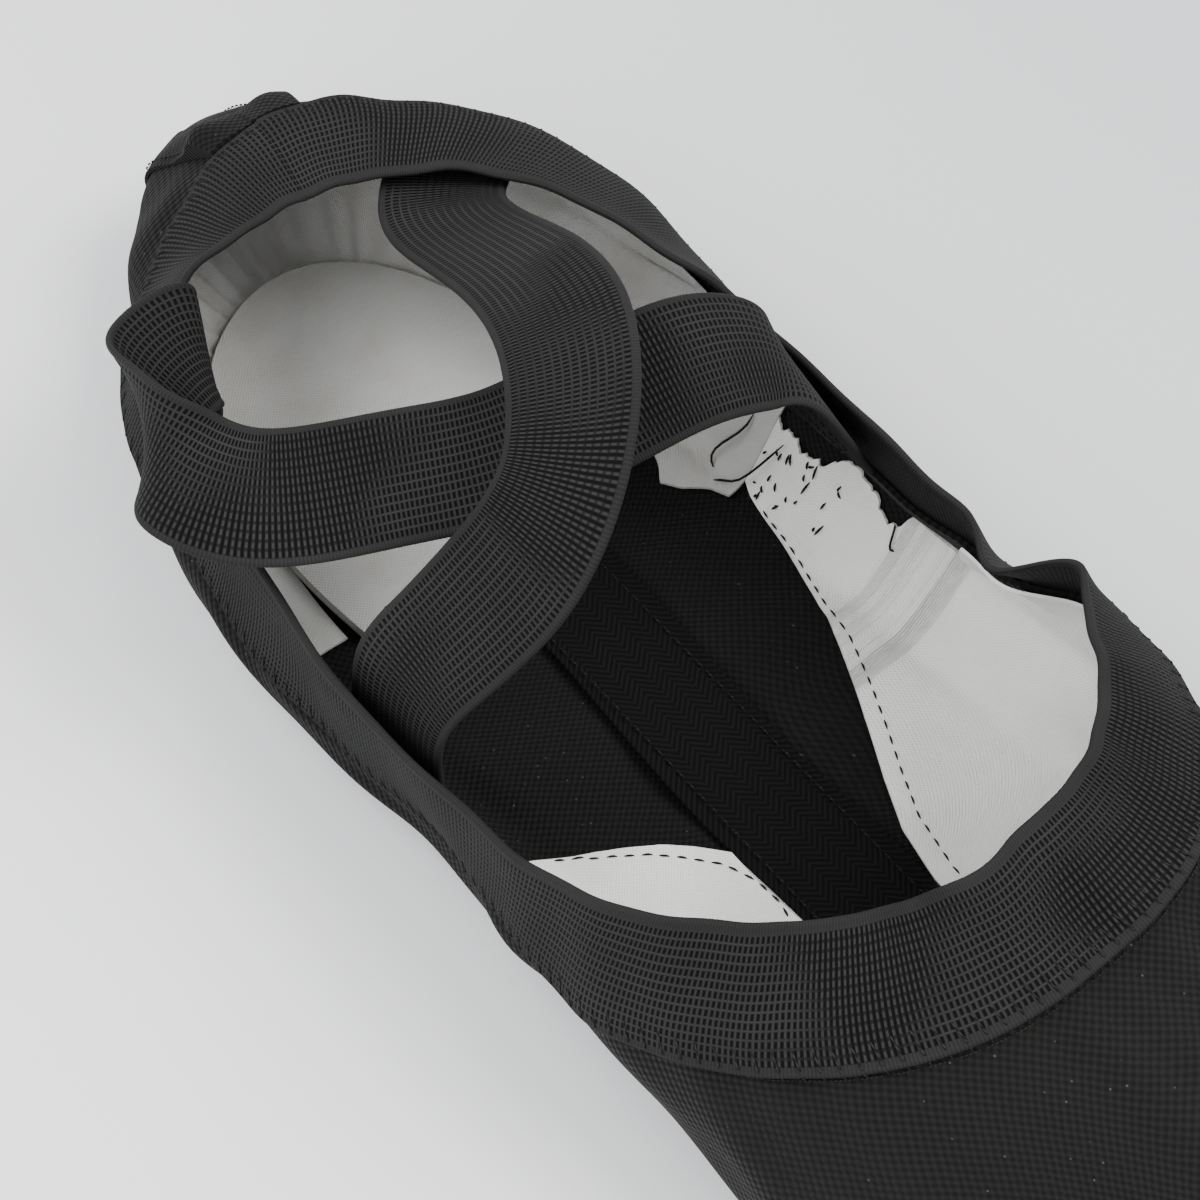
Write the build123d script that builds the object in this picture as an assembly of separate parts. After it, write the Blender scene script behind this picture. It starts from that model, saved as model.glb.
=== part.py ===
from build123d import *
import os
import numpy as np

# A black canvas split-sole ballet slipper, lying empty on its two suede sole pads.
# +X points to the toe, +Y to the slipper's left, +Z up. The origin is on the floor under the
# middle of the slipper's length. All sizes are in millimetres.

# ---------------------------------------------------------------- driving dimensions
BAND_WIDTH = 20.0       # elastic round the opening
STRAP_WIDTH = 19.0      # crossed foot straps
TAPE_WIDTH = 18.0       # seam tapes
CANVAS = 0.8            # thicknesses
BAND = 1.2
STRAP = 1.2
LINING = 0.5
TAPE = 0.6
FOAM = 2.4
SOCK = 0.7
SUEDE = 1.6
THREAD = 0.5
LAYER_GAP = 0.25        # air left between two layers of cloth
SOLE_TOP = 2.7          # height of the canvas's inner face under the foot
SOLE_INSET = 9.0        # how far the sole's edge lies inside the widest line
SOLE_ROUND = 7.0        # how far inside its edge the sole lies flat
SOLE_EDGE_LIFT = 0.4
HEEL_INSET = 14.0
HEEL_BACK = -128.0
SPINE_REAR, SPINE_FRONT = -88.0, 92.0   # ends of the middle seam under the foot

# One row for each station round the slipper: the widest point of the wall (x, y, z), the
# rim of the opening (x, y, z), how far the elastic band tips below level on its way out
# (degrees), and how far the canvas crowns between the wall and the band.
STATIONS = [
    ((HEEL_BACK, 0, 20), (-94, 1, 37), 12, 1.0),  # back seam of the heel
    ((-117, -18, 17), (-95, -11, 36), 34, 1.0),
    ((-98, -32, 12), (-90, -26, 34), 62, 1.0),
    ((-67, -43, 8.5), (-66, -35, 32), 72, 1.0),
    ((-30, -43, 7), (-30, -41, 32), 88, 0.6),     # right side of the arch
    ((4, -41, 8), (4, -40, 35), 86, 0.8),         # right side seam
    ((36, -40.5, 9), (24, -35, 41), 60, 1.5),
    ((70, -43, 12), (36, -26, 44), 41, 3.0),
    ((103, -36, 13), (43, -17, 45), 29, 4.5),
    ((123, -19, 14), (47, -8, 46), 22, 6.0),
    ((129, 2, 14), (48, 2, 46), 20, 6.5),         # toe
    ((121, 25, 14), (48, 12, 47), 22, 6.0),
    ((99, 42, 13), (45, 21, 47), 28, 4.5),
    ((68, 48.5, 13), (37, 30, 46.5), 42, 2.0),
    ((37, 45.5, 14), (24, 36, 43.5), 62, 1.2),
    ((4, 44, 16), (4, 36, 39), 72, 1.0),          # left side seam
    ((-28, 42, 18), (-27, 36, 38), 74, 0.8),      # left side of the arch
    ((-57, 41, 20), (-54, 33, 39), 55, 1.0),
    ((-88, 33, 20), (-76, 25, 39), 32, 1.0),
    ((-117, 19, 20), (-89, 12, 38), 16, 1.0),
]
COUNT = len(STATIONS)
RIGHT_SEAM, TOE, LEFT_SEAM = 5, 10, 15          # stations of the seams

# Heights on the wall, counted in profile points.
MIDDLE, SOLE, SOLE_EDGE, WIDEST, CROWN, BAND_EDGE, RIM = range(7)
CANVAS_TOP = 5.3        # the canvas's raw edge, under the band
LINING_TOP = 5.35       # the lining's raw edge

# ---------------------------------------------------------------- smooth curves
def controls(values, closed):
    """Control points of the cubic B-spline that passes through the values."""
    values = np.asarray(values, float)
    count = len(values)
    matrix = np.zeros((count, count))
    for i in range(count):
        if closed or 0 < i < count - 1:
            matrix[i, (i - 1) % count] = 1 / 6
            matrix[i, (i + 1) % count] = 1 / 6
            matrix[i, i] = 4 / 6
        else:
            matrix[i, i] = 1
    points = np.linalg.solve(matrix, values)
    if closed:
        return np.concatenate([points[-1:], points, points[:2]])
    return np.concatenate([[2 * points[0] - points[1]], points, [2 * points[-1] - points[-2]]])


def curve(points, t):
    """Values of a cubic B-spline at the parameters t, one unit for each given value."""
    t = np.asarray(t, float)
    i = np.clip(np.floor(t).astype(int), 0, len(points) - 4)
    f = (t - i).reshape(-1, *[1] * (points.ndim - 1))
    weights = ((1 - f) ** 3, 3 * f ** 3 - 6 * f ** 2 + 4, 1 + 3 * f + 3 * f ** 2 - 3 * f ** 3, f ** 3)
    return sum(w * points[i + k] for k, w in enumerate(weights)) / 6


def unit(vectors):
    return vectors / np.linalg.norm(vectors, axis=-1, keepdims=True)


# ---------------------------------------------------------------- the slipper's surface
WALL, OPENING, TILT, BULGE = (controls([row[k] for row in STATIONS], True) for k in range(4))
UP = np.array([0.0, 0.0, 1.0])


def profile(t):
    """Points up the wall at stations t, in the order of the names above."""
    t = np.mod(t, COUNT)
    step = 0.01
    widest, rim = curve(WALL, t), curve(OPENING, t)
    along = curve(OPENING, np.mod(t + step, COUNT)) - curve(OPENING, np.mod(t - step, COUNT))
    out = unit(np.stack([along[:, 1], -along[:, 0], 0 * t], axis=1))
    tilt = np.radians(curve(TILT, t))[:, None]
    band_edge = rim + BAND_WIDTH * (np.cos(tilt) * out - np.sin(tilt) * UP)
    rise = band_edge - widest
    level = np.sum(rise * out, axis=1, keepdims=True)
    crown = (widest + band_edge) / 2 + curve(BULGE, t)[:, None] * unit(rise[:, 2:] * out - level * UP)
    spine = np.stack([np.clip(widest[:, 0], SPINE_REAR, SPINE_FRONT), 0 * t, 0 * t], axis=1)
    inward = unit((spine - widest) * (1, 1, 0))
    share = np.clip(widest[:, :1] / HEEL_BACK, 0, 1) ** 3
    edge = widest + (SOLE_INSET + (HEEL_INSET - SOLE_INSET) * share) * inward
    edge[:, 2] = SOLE_TOP + SOLE_EDGE_LIFT
    sole = edge + SOLE_ROUND * inward
    sole[:, 2] = SOLE_TOP
    spine[:, 2] = SOLE_TOP
    return np.stack([spine, sole, edge, widest, crown, band_edge, rim])


def surface(t, v):
    """Points of the canvas's inner face at stations t and heights v (0 middle, 6 rim)."""
    rail = profile(t)
    rail = np.concatenate([2 * rail[:1] - rail[1:2], rail, 2 * rail[-1:] - rail[-2:-1]])
    i = np.clip(np.floor(v).astype(int), 0, RIM - 1)
    corner = [rail[i + k, np.arange(len(t))] for k in range(4)]
    knots = [0 * t]
    for a, b in zip(corner, corner[1:]):
        knots.append(knots[-1] + np.sqrt(np.linalg.norm(b - a, axis=1)))
    s = knots[1] + (v - i) * (knots[2] - knots[1])

    def mix(a, b, start, end):
        share = ((s - start) / (end - start))[:, None]
        return a * (1 - share) + b * share

    first = [mix(corner[k], corner[k + 1], knots[k], knots[k + 1]) for k in range(3)]
    second = [mix(first[k], first[k + 1], knots[k], knots[k + 2]) for k in range(2)]
    return mix(second[0], second[1], knots[1], knots[2])


def cloth(t, v, out):
    """Points at a distance out from the canvas's inner face, away from the foot."""
    step = 0.02
    high = np.minimum(v + step, RIM)
    along = surface(t + step, v) - surface(t - step, v)
    up = surface(t, high) - surface(t, high - 2 * step)
    return surface(t, v) + out * unit(np.cross(along, up))


# ---------------------------------------------------------------- solids
HEIGHTS = (0, 0.5, 1, 1.5, 2, 2.1, 2.35, 2.6, 3, 3.3, 3.6, 4, 4.25, 4.5, 4.75, 5, 5.3, 5.65, 6)
COLUMNS_PER_STATION = 4
SAME = 1e-6


def facets(grid):
    """Triangles over a grid of points, without those that have shrunk to a line."""
    for i in range(grid.shape[0] - 1):
        for j in range(grid.shape[1] - 1):
            a, b, c, d = grid[i, j], grid[i + 1, j], grid[i + 1, j + 1], grid[i, j + 1]
            for corners in ((a, b, c), (a, c, d)):
                if all(np.linalg.norm(corners[k] - corners[k - 1]) > SAME for k in range(3)):
                    yield Face(Wire.make_polygon([Vector(*map(float, p)) for p in corners]))


def slab(low, high):
    """Closed solid of flat facets between two grids of points (columns x rows x 3)."""
    edges = [np.stack([low[i], high[i]]) for i in (0, -1)]
    edges += [np.stack([low[:, j], high[:, j]]) for j in (0, -1)]
    faces = [face for grid in (low, high, *edges) for face in facets(grid)]
    return Solid(Shell(faces))


def steps(start, end, marks):
    """The marks between start and end, with both ends."""
    gap = 0.02
    return np.array([start] + [m for m in marks if start + gap < m < end - gap] + [end])


def panel(t_range, v_range, inner, outer):
    """Piece of cloth on the slipper: v_range is (low, high) or a function of t giving them."""
    marks = np.arange(0, 2 * COUNT * COLUMNS_PER_STATION) / COLUMNS_PER_STATION
    stations = steps(*t_range, marks)
    limits = np.array([v_range(t) if callable(v_range) else v_range for t in stations])
    heights = steps(limits[:, 0].min(), limits[:, 1].max(), HEIGHTS)
    grids = []
    for out in (inner, outer):
        grids.append(np.stack([cloth(np.full(len(heights), t), np.clip(heights, low, high), out)
                               for t, (low, high) in zip(stations, limits)]))
    return slab(*grids)


def ribbon(stations, t_range, side_range, inner, outer, columns, rows=3):
    """Part of a strap, side_range across from its middle line and inner..outer off its middle."""
    line = controls([row[0] for row in stations], False)
    side = controls([row[1] for row in stations], False)
    t = np.linspace(*t_range, columns)
    step = 0.01
    middle = curve(line, t)
    along = unit(curve(line, t + step) - curve(line, t - step))
    across = curve(side, t)
    across = unit(across - np.sum(across * along, axis=1, keepdims=True) * along)
    normal = np.cross(across, along)
    return slab(*[np.stack([middle + w * across + out * normal for w in np.linspace(*side_range, rows)],
                           axis=1) for out in (inner, outer)])


def outline(points, inset=0.0, closed=True, samples=6):
    """Flat face inside the smooth closed curve through the points, moved in by inset."""
    line = controls(points, closed)
    count = len(points) * samples if closed else (len(points) - 1) * samples + 1
    t = np.linspace(0, len(points) - (0 if closed else 1), count, endpoint=not closed)
    step = 0.01
    around = len(points) if closed else len(points) + 1
    along = unit(curve(line, np.mod(t + step, around)) - curve(line, np.mod(t - step, around)))
    inward = np.stack([-along[:, 1], along[:, 0]], axis=1)
    return Face(Wire.make_polygon([Vector(float(x), float(y)) for x, y in curve(line, t) + inset * inward]))


def raised(face, bottom, height):
    return Pos(0, 0, bottom) * extrude(face, height, dir=(0, 0, 1))


# ---------------------------------------------------------------- canvas upper
MIDDLE_GAP = 0.02       # the two halves butt under the foot
HEEL_GATHER = ((0, 1.6, 2.6, 5), (0.5, 0.5, MIDDLE_GAP, MIDDLE_GAP))
TOE_GATHER = ((5, 6.6, 7.2, 12.8, 13.4, 15), (MIDDLE_GAP, MIDDLE_GAP, 0.5, 0.5, MIDDLE_GAP, MIDDLE_GAP))
BUTT = 0.015            # half the gap of a seam, in stations
ELASTIC = CANVAS + LAYER_GAP
ON_ELASTIC = ELASTIC + BAND + LAYER_GAP / 2


def quarter_right():
    return panel((BUTT, RIGHT_SEAM - BUTT), lambda t: (np.interp(t, *HEEL_GATHER), CANVAS_TOP),
                 0, CANVAS)


def quarter_left():
    return panel((LEFT_SEAM + BUTT, COUNT - BUTT),
                 lambda t: (np.interp(COUNT - t, *HEEL_GATHER), CANVAS_TOP), 0, CANVAS)


def vamp():
    return panel((RIGHT_SEAM + BUTT, LEFT_SEAM - BUTT),
                 lambda t: (np.interp(t, *TOE_GATHER), CANVAS_TOP), 0, CANVAS)


def topline_elastic():
    return panel((2 * BUTT, COUNT - 2 * BUTT), (BAND_EDGE, RIM), ELASTIC, ELASTIC + BAND)


def topline_thread():
    rows = [(5.04, 5.07), (5.2, 5.23)]
    return [panel((4 * BUTT, COUNT - 4 * BUTT), row, ON_ELASTIC, ON_ELASTIC + THREAD)
            for row in rows]


STAY = (COUNT - 0.38, COUNT + 0.38)
STAY_HEIGHT = (2.3, 4.9)


def heel_stay():
    return panel(STAY, STAY_HEIGHT, CANVAS + LAYER_GAP, CANVAS + LAYER_GAP + TAPE)


def heel_stay_thread():
    out = CANVAS + LAYER_GAP + TAPE + LAYER_GAP / 2
    return [panel((t, t + 0.03), STAY_HEIGHT, out, out + THREAD / 2)
            for t in (STAY[0] + 0.05, STAY[1] - 0.08)]


ARCH_TAPE = (-43.0, 56.0)


def arch_tape():
    center = (sum(ARCH_TAPE) / 2, 0, SOLE_TOP + LAYER_GAP)
    return Pos(*center) * Box(ARCH_TAPE[1] - ARCH_TAPE[0], TAPE_WIDTH, TAPE,
                              align=(Align.CENTER, Align.CENTER, Align.MIN))


def arch_tape_thread():
    length = ARCH_TAPE[1] - ARCH_TAPE[0] - 4
    height = SOLE_TOP + LAYER_GAP + TAPE + LAYER_GAP / 2
    return [Pos(sum(ARCH_TAPE) / 2, side * (TAPE_WIDTH / 2 - 2), height)
            * Box(length, THREAD, THREAD / 2, align=(Align.CENTER, Align.CENTER, Align.MIN))
            for side in (-1, 1)]


# ---------------------------------------------------------------- linings and insoles
RIGHT_LINING = ((5, 5.05, 5.2, 5.35, 5.8, 6.4, 6.7, 10), (1.4, 0.9, 0.65, 0.55, 0.5, 0.5, 2.1, 2.1))
LEFT_LINING = ((10, 13.4, 13.8, 14.3, 14.6, 15, 15.6, 16.05), (2.1, 2.1, 0.5, 0.5, 0.5, 0.75, 1.1, 1.9))
INSIDE = -LAYER_GAP
HEEL_LINING = (16.1, COUNT + 3.5)


def lining_right():
    return panel((RIGHT_SEAM + BUTT, TOE - BUTT), lambda t: (np.interp(t, *RIGHT_LINING), LINING_TOP),
                 INSIDE - LINING, INSIDE)


def lining_left():
    return panel((TOE + BUTT, HEEL_LINING[0] - 3 * BUTT),
                 lambda t: (np.interp(t, *LEFT_LINING), LINING_TOP), INSIDE - LINING, INSIDE)


def lining_thread(edge, t_range):
    out = INSIDE - LINING - LAYER_GAP / 2
    return panel(t_range, lambda t: (np.interp(t, *edge) + 0.09, np.interp(t, *edge) + 0.11),
                 out - THREAD / 2, out)


def heel_lining():
    return panel(HEEL_LINING, (2.1, LINING_TOP), INSIDE - LINING, INSIDE)


HEEL_INSOLE = [(-46, 25.5), (-66, 26.5), (-87, 21), (-101, 13), (-107.5, 0), (-102, -15), (-88, -24.5),
               (-66, -29), (-46, -28)]
FOREFOOT_INSOLE = [(60, -31), (78, -31), (94, -25), (106, -13), (110, 2), (105, 17), (93, 27), (78, 32),
                   (60, 33)]
FOAM_BOTTOM = SOLE_TOP + LAYER_GAP


def foam(points):
    return raised(outline(points, closed=False), FOAM_BOTTOM, FOAM)


def sock(points):
    return raised(outline(points, closed=False), FOAM_BOTTOM + FOAM + LAYER_GAP / 2, SOCK)


# ---------------------------------------------------------------- suede sole pads
HEEL_PAD = [(-116, 0), (-109, -17), (-92, -26), (-70, -24), (-56, -12), (-53, 0), (-56, 12), (-70, 24),
            (-92, 25), (-109, 17)]
FOREFOOT_PAD = [(20, 2), (26, -14), (45, -30), (70, -36), (94, -32), (111, -17), (118, 3), (111, 22),
                (94, 37), (70, 39), (45, 33), (26, 18)]
STITCH_INSET = 2.5      # of the stitching channel from the pad's edge
CHANNEL = 1.2
CHANNEL_DEPTH = 0.8


def ring_of(points, inset, width, bottom, height):
    """Flat ring that follows a pad's outline."""
    return (raised(outline(points, inset), bottom, height)
            - raised(outline(points, inset + width), bottom, height))


def sole_pad(points):
    return raised(outline(points), 0, SUEDE) - ring_of(points, STITCH_INSET, CHANNEL, 0, CHANNEL_DEPTH)


def sole_thread(points):
    play = (CHANNEL - THREAD) / 2
    return ring_of(points, STITCH_INSET + play, THREAD, CHANNEL_DEPTH - THREAD - 0.1, THREAD)


# ---------------------------------------------------------------- crossed foot straps
def sewn_end(t, v, inside, turn=1):
    """Middle and width direction of a strap's end, flat against the inside of the wall."""
    step = 0.2
    before, middle, after = cloth(np.array([t - step, t, t + step]), np.full(3, v), -inside)
    return tuple(middle), tuple(turn * unit(after - before))


# Middle line and width direction of each foot strap, from its heel end to its front end.
STRAP_OVER = [
    sewn_end(18.5, 5.5, 2.2, -1),
    ((-81, 16, 38.5), (0.55, 0.83, 0.05)),
    ((-70, 12, 45), (0.5, 0.85, 0.15)),
    ((-56, 10, 54), (0.6, 0.75, 0.3)),
    ((-42, 6, 61.5), (0.7, 0.6, 0.35)),
    ((-30, -1, 64.5), (0.75, 0.55, 0.35)),
    ((-21, -10, 62.5), (0.82, 0.45, 0.35)),
    ((-18, -18, 56), (0.93, 0.3, 0.2)),
    ((-19, -24, 48.5), (0.95, 0.25, 0.1)),
    ((-21, -31, 41), (0.98, 0.1, 0.0)),
    ((-22, -37.8, 34), (0.99, 0.0, 0.0)),
    sewn_end(4.25, 5.5, 0.6),
]
STRAP_UNDER = [
    sewn_end(2.35, 5.5, 2.6),
    ((-83.5, -25.8, 36.5), (0.84, -0.42, -0.3)),
    ((-80.5, -34.5, 41.5), (0.85, -0.25, -0.38)),
    ((-73.5, -41, 43.5), (0.65, -0.38, -0.62)),
    ((-65, -43, 44.5), (0.65, -0.55, -0.5)),
    ((-56.5, -39.5, 44), (0.68, -0.6, -0.45)),
    ((-49.5, -32, 44.5), (0.7, -0.56, -0.4)),
    ((-42.5, -20.5, 46), (0.78, -0.5, -0.34)),
    ((-35, -8, 49), (0.88, -0.4, -0.25)),
    ((-31, 8, 51.5), (0.9, -0.25, -0.35)),
    ((-29, 20, 51), (0.93, -0.12, -0.35)),
    ((-26, 29.5, 47), (0.95, -0.1, -0.2)),
    ((-22, 33.6, 40.5), (0.97, -0.1, -0.1)),
    sewn_end(15.75, 5.5, 0.7, -1),
]


def strap(stations):
    half = STRAP_WIDTH / 2
    return ribbon(stations, (0, len(stations) - 1), (-half, half), -STRAP / 2, STRAP / 2, 45)


def strap_thread(stations, inward):
    """Two rows of tack stitches at each sewn end, on the face towards the foot."""
    near = STRAP / 2 + LAYER_GAP / 2
    inner, outer = sorted((inward * near, inward * (near + THREAD)))
    last = len(stations) - 1
    starts = (0.15, 0.45, last - 0.5, last - 0.2)
    return [ribbon(stations, (t, t + 0.05), (-7.5, 7.5), inner, outer, 2) for t in starts]


def build():
    """Every node of the slipper, by name."""
    return {
        "quarter_canvas_right": quarter_right(),
        "quarter_canvas_left": quarter_left(),
        "vamp_canvas": vamp(),
        "topline_elastic": topline_elastic(),
        "topline_thread": topline_thread(),
        "heel_stay_tape": heel_stay(),
        "heel_stay_thread": heel_stay_thread(),
        "arch_seam_tape": arch_tape(),
        "arch_tape_thread": arch_tape_thread(),
        "vamp_lining_right": lining_right(),
        "vamp_lining_left": lining_left(),
        "lining_thread_right": lining_thread(RIGHT_LINING, (5.1, 6.1)),
        "lining_thread_left": lining_thread(LEFT_LINING, (13.9, 16.0)),
        "heel_lining": heel_lining(),
        "heel_foam": foam(HEEL_INSOLE),
        "heel_sock": sock(HEEL_INSOLE),
        "forefoot_foam": foam(FOREFOOT_INSOLE),
        "forefoot_sock": sock(FOREFOOT_INSOLE),
        "heel_outsole": sole_pad(HEEL_PAD),
        "forefoot_outsole": sole_pad(FOREFOOT_PAD),
        "heel_outsole_thread": sole_thread(HEEL_PAD),
        "forefoot_outsole_thread": sole_thread(FOREFOOT_PAD),
        "strap_over": strap(STRAP_OVER),
        "strap_under": strap(STRAP_UNDER),
        "strap_over_thread": strap_thread(STRAP_OVER, 1),
        "strap_under_thread": strap_thread(STRAP_UNDER, -1),
    }


os.makedirs("parts", exist_ok=True)
for name, shape in build().items():
    whole = Compound(children=shape) if isinstance(shape, list) else shape
    export_step(whole, f"parts/{name}.step")
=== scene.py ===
import math
import bpy
import numpy as np
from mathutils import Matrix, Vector


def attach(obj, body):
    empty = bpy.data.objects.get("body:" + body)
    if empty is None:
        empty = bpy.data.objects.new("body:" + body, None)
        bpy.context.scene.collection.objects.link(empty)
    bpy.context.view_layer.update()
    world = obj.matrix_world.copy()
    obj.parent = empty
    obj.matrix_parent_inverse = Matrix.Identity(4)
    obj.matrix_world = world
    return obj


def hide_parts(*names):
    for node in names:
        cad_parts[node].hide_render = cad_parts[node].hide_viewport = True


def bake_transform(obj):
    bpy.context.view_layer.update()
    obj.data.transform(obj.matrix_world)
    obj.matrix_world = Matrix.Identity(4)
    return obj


# Looks of a black canvas ballet slipper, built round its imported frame. Metres, +X to the toe,
# +Y to the slipper's left, +Z up. "Right" is the -Y side, which faces the camera.

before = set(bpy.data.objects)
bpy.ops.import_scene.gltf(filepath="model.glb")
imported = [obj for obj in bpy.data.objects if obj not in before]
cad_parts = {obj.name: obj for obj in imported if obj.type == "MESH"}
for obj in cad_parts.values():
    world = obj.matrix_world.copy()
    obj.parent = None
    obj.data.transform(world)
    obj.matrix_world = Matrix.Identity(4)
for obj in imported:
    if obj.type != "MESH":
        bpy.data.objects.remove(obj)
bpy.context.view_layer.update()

# ---------------------------------------------------------------- driving dimensions
MM = 0.001
BAND_WIDTH = 20 * MM
STRAP_WIDTH = 19 * MM
TAPE_WIDTH = 18 * MM
CANVAS = 0.8 * MM
BAND = 1.2 * MM
STRAP = 1.2 * MM
LINING = 0.5 * MM
TAPE = 0.6 * MM
FOAM = 2.4 * MM
SOCK = 0.7 * MM
SUEDE = 1.6 * MM
GAP = 0.25 * MM
LINING_GAP = 0.5 * MM
SOLE_TOP = 2.7 * MM
SOLE_INSET = 9 * MM
HEEL_INSET = 14 * MM
SOLE_ROUND = 7 * MM
SOLE_EDGE_LIFT = 0.4 * MM
HEEL_BACK = -128 * MM
SPINE = (-88 * MM, 92 * MM)

# One row for each station round the slipper, in millimetres, as in the frame's drawing: the
# widest point of the wall, the rim of the opening, how far the elastic band tips below level on
# its way out (degrees), and how far the canvas crowns between the wall and the band.
STATIONS = [
    ((-128, 0, 20), (-94, 1, 37), 12, 1.0),       # back seam of the heel
    ((-117, -18, 17), (-95, -11, 36), 34, 1.0),
    ((-98, -32, 12), (-90, -26, 34), 62, 1.0),
    ((-67, -43, 8.5), (-66, -35, 32), 72, 1.0),
    ((-30, -43, 7), (-30, -41, 32), 88, 0.6),     # right side of the arch
    ((4, -41, 8), (4, -40, 35), 86, 0.8),         # right side seam
    ((36, -40.5, 9), (24, -35, 41), 60, 1.5),
    ((70, -43, 12), (36, -26, 44), 41, 3.0),
    ((103, -36, 13), (43, -17, 45), 29, 4.5),
    ((123, -19, 14), (47, -8, 46), 22, 6.0),
    ((129, 2, 14), (48, 2, 46), 20, 6.5),         # toe
    ((121, 25, 14), (48, 12, 47), 22, 6.0),
    ((99, 42, 13), (45, 21, 47), 28, 4.5),
    ((68, 48.5, 13), (37, 30, 46.5), 42, 2.0),
    ((37, 45.5, 14), (24, 36, 43.5), 62, 1.2),
    ((4, 44, 16), (4, 36, 39), 72, 1.0),          # left side seam
    ((-28, 42, 18), (-27, 36, 38), 74, 0.8),      # left side of the arch
    ((-57, 41, 20), (-54, 33, 39), 55, 1.0),
    ((-88, 33, 20), (-76, 25, 39), 32, 1.0),
    ((-117, 19, 20), (-89, 12, 38), 16, 1.0),
]
COUNT = len(STATIONS)
RIGHT_SEAM, TOE, LEFT_SEAM = 5, 10, 15
# Heights on the wall: 0 is the middle of the sole, 1 the sole, 2 the sole's edge, 3 the widest
# line, 4 the crown of the canvas, 5 the band's lower edge and 6 the rim.
BAND_EDGE, RIM = 5, 6
CANVAS_TOP = 5.3
LINING_TOP = 5.35
UP = np.array([0.0, 0.0, 1.0])


# ---------------------------------------------------------------- smooth curves
def controls(values, closed):
    """Control points of the cubic B-spline that passes through the values."""
    values = np.asarray(values, float)
    count = len(values)
    matrix = np.zeros((count, count))
    for i in range(count):
        if closed or 0 < i < count - 1:
            matrix[i, (i - 1) % count] = 1 / 6
            matrix[i, (i + 1) % count] = 1 / 6
            matrix[i, i] = 4 / 6
        else:
            matrix[i, i] = 1
    points = np.linalg.solve(matrix, values)
    if closed:
        return np.concatenate([points[-1:], points, points[:2]])
    return np.concatenate([[2 * points[0] - points[1]], points, [2 * points[-1] - points[-2]]])


def curve(points, t):
    """Values of a cubic B-spline at the parameters t, one unit for each given value."""
    t = np.asarray(t, float)
    i = np.clip(np.floor(t).astype(int), 0, len(points) - 4)
    f = (t - i).reshape(-1, *[1] * (points.ndim - 1))
    weights = ((1 - f) ** 3, 3 * f ** 3 - 6 * f ** 2 + 4, 1 + 3 * f + 3 * f ** 2 - 3 * f ** 3, f ** 3)
    return sum(w * points[i + k] for k, w in enumerate(weights)) / 6


def unit(vectors):
    return vectors / np.maximum(np.linalg.norm(vectors, axis=-1, keepdims=True), 1e-12)


def bump(x, middle, width):
    """Smooth bell, 1 at the middle."""
    return np.exp(-((x - middle) / width) ** 2)


def ramp(x, start, end):
    """Smooth step from 0 at start to 1 at end."""
    s = np.clip((x - start) / (end - start), 0, 1)
    return s * s * (3 - 2 * s)


# ---------------------------------------------------------------- the slipper's surface
WALL, OPENING, BULGE = (MM * controls([row[k] for row in STATIONS], True) for k in (0, 1, 3))
TILT = controls([row[2] for row in STATIONS], True)


def outward(t):
    """Level direction away from the opening at stations t."""
    step = 0.01
    along = curve(OPENING, np.mod(t + step, COUNT)) - curve(OPENING, np.mod(t - step, COUNT))
    return unit(np.stack([along[:, 1], -along[:, 0], 0 * t], axis=1))


def profile(t):
    """Points up the wall at stations t, one for each height from 0 to 6."""
    t = np.mod(t, COUNT)
    widest, rim, out = curve(WALL, t), curve(OPENING, t), outward(t)
    tilt = np.radians(curve(TILT, t))[:, None]
    band_edge = rim + BAND_WIDTH * (np.cos(tilt) * out - np.sin(tilt) * UP)
    rise = band_edge - widest
    level = np.sum(rise * out, axis=1, keepdims=True)
    crown = (widest + band_edge) / 2 + curve(BULGE, t)[:, None] * unit(rise[:, 2:] * out - level * UP)
    spine = np.stack([np.clip(widest[:, 0], *SPINE), 0 * t, 0 * t], axis=1)
    inward = unit((spine - widest) * (1, 1, 0))
    share = np.clip(widest[:, :1] / HEEL_BACK, 0, 1) ** 3
    edge = widest + (SOLE_INSET + (HEEL_INSET - SOLE_INSET) * share) * inward
    edge[:, 2] = SOLE_TOP + SOLE_EDGE_LIFT
    sole = edge + SOLE_ROUND * inward
    sole[:, 2] = SOLE_TOP
    spine[:, 2] = SOLE_TOP
    return np.stack([spine, sole, edge, widest, crown, band_edge, rim])


def surface(t, v):
    """Points of the canvas's inner face at stations t and heights v (0 middle, 6 rim)."""
    rail = profile(t)
    rail = np.concatenate([2 * rail[:1] - rail[1:2], rail, 2 * rail[-1:] - rail[-2:-1]])
    i = np.clip(np.floor(v).astype(int), 0, RIM - 1)
    corner = [rail[i + k, np.arange(len(t))] for k in range(4)]
    knots = [0 * t]
    for a, b in zip(corner, corner[1:]):
        knots.append(knots[-1] + np.sqrt(np.linalg.norm(b - a, axis=1)))
    s = knots[1] + (v - i) * (knots[2] - knots[1])

    def mix(a, b, start, end):
        share = ((s - start) / (end - start))[:, None]
        return a * (1 - share) + b * share

    first = [mix(corner[k], corner[k + 1], knots[k], knots[k + 1]) for k in range(3)]
    second = [mix(first[k], first[k + 1], knots[k], knots[k + 2]) for k in range(2)]
    return mix(second[0], second[1], knots[1], knots[2])


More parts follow.
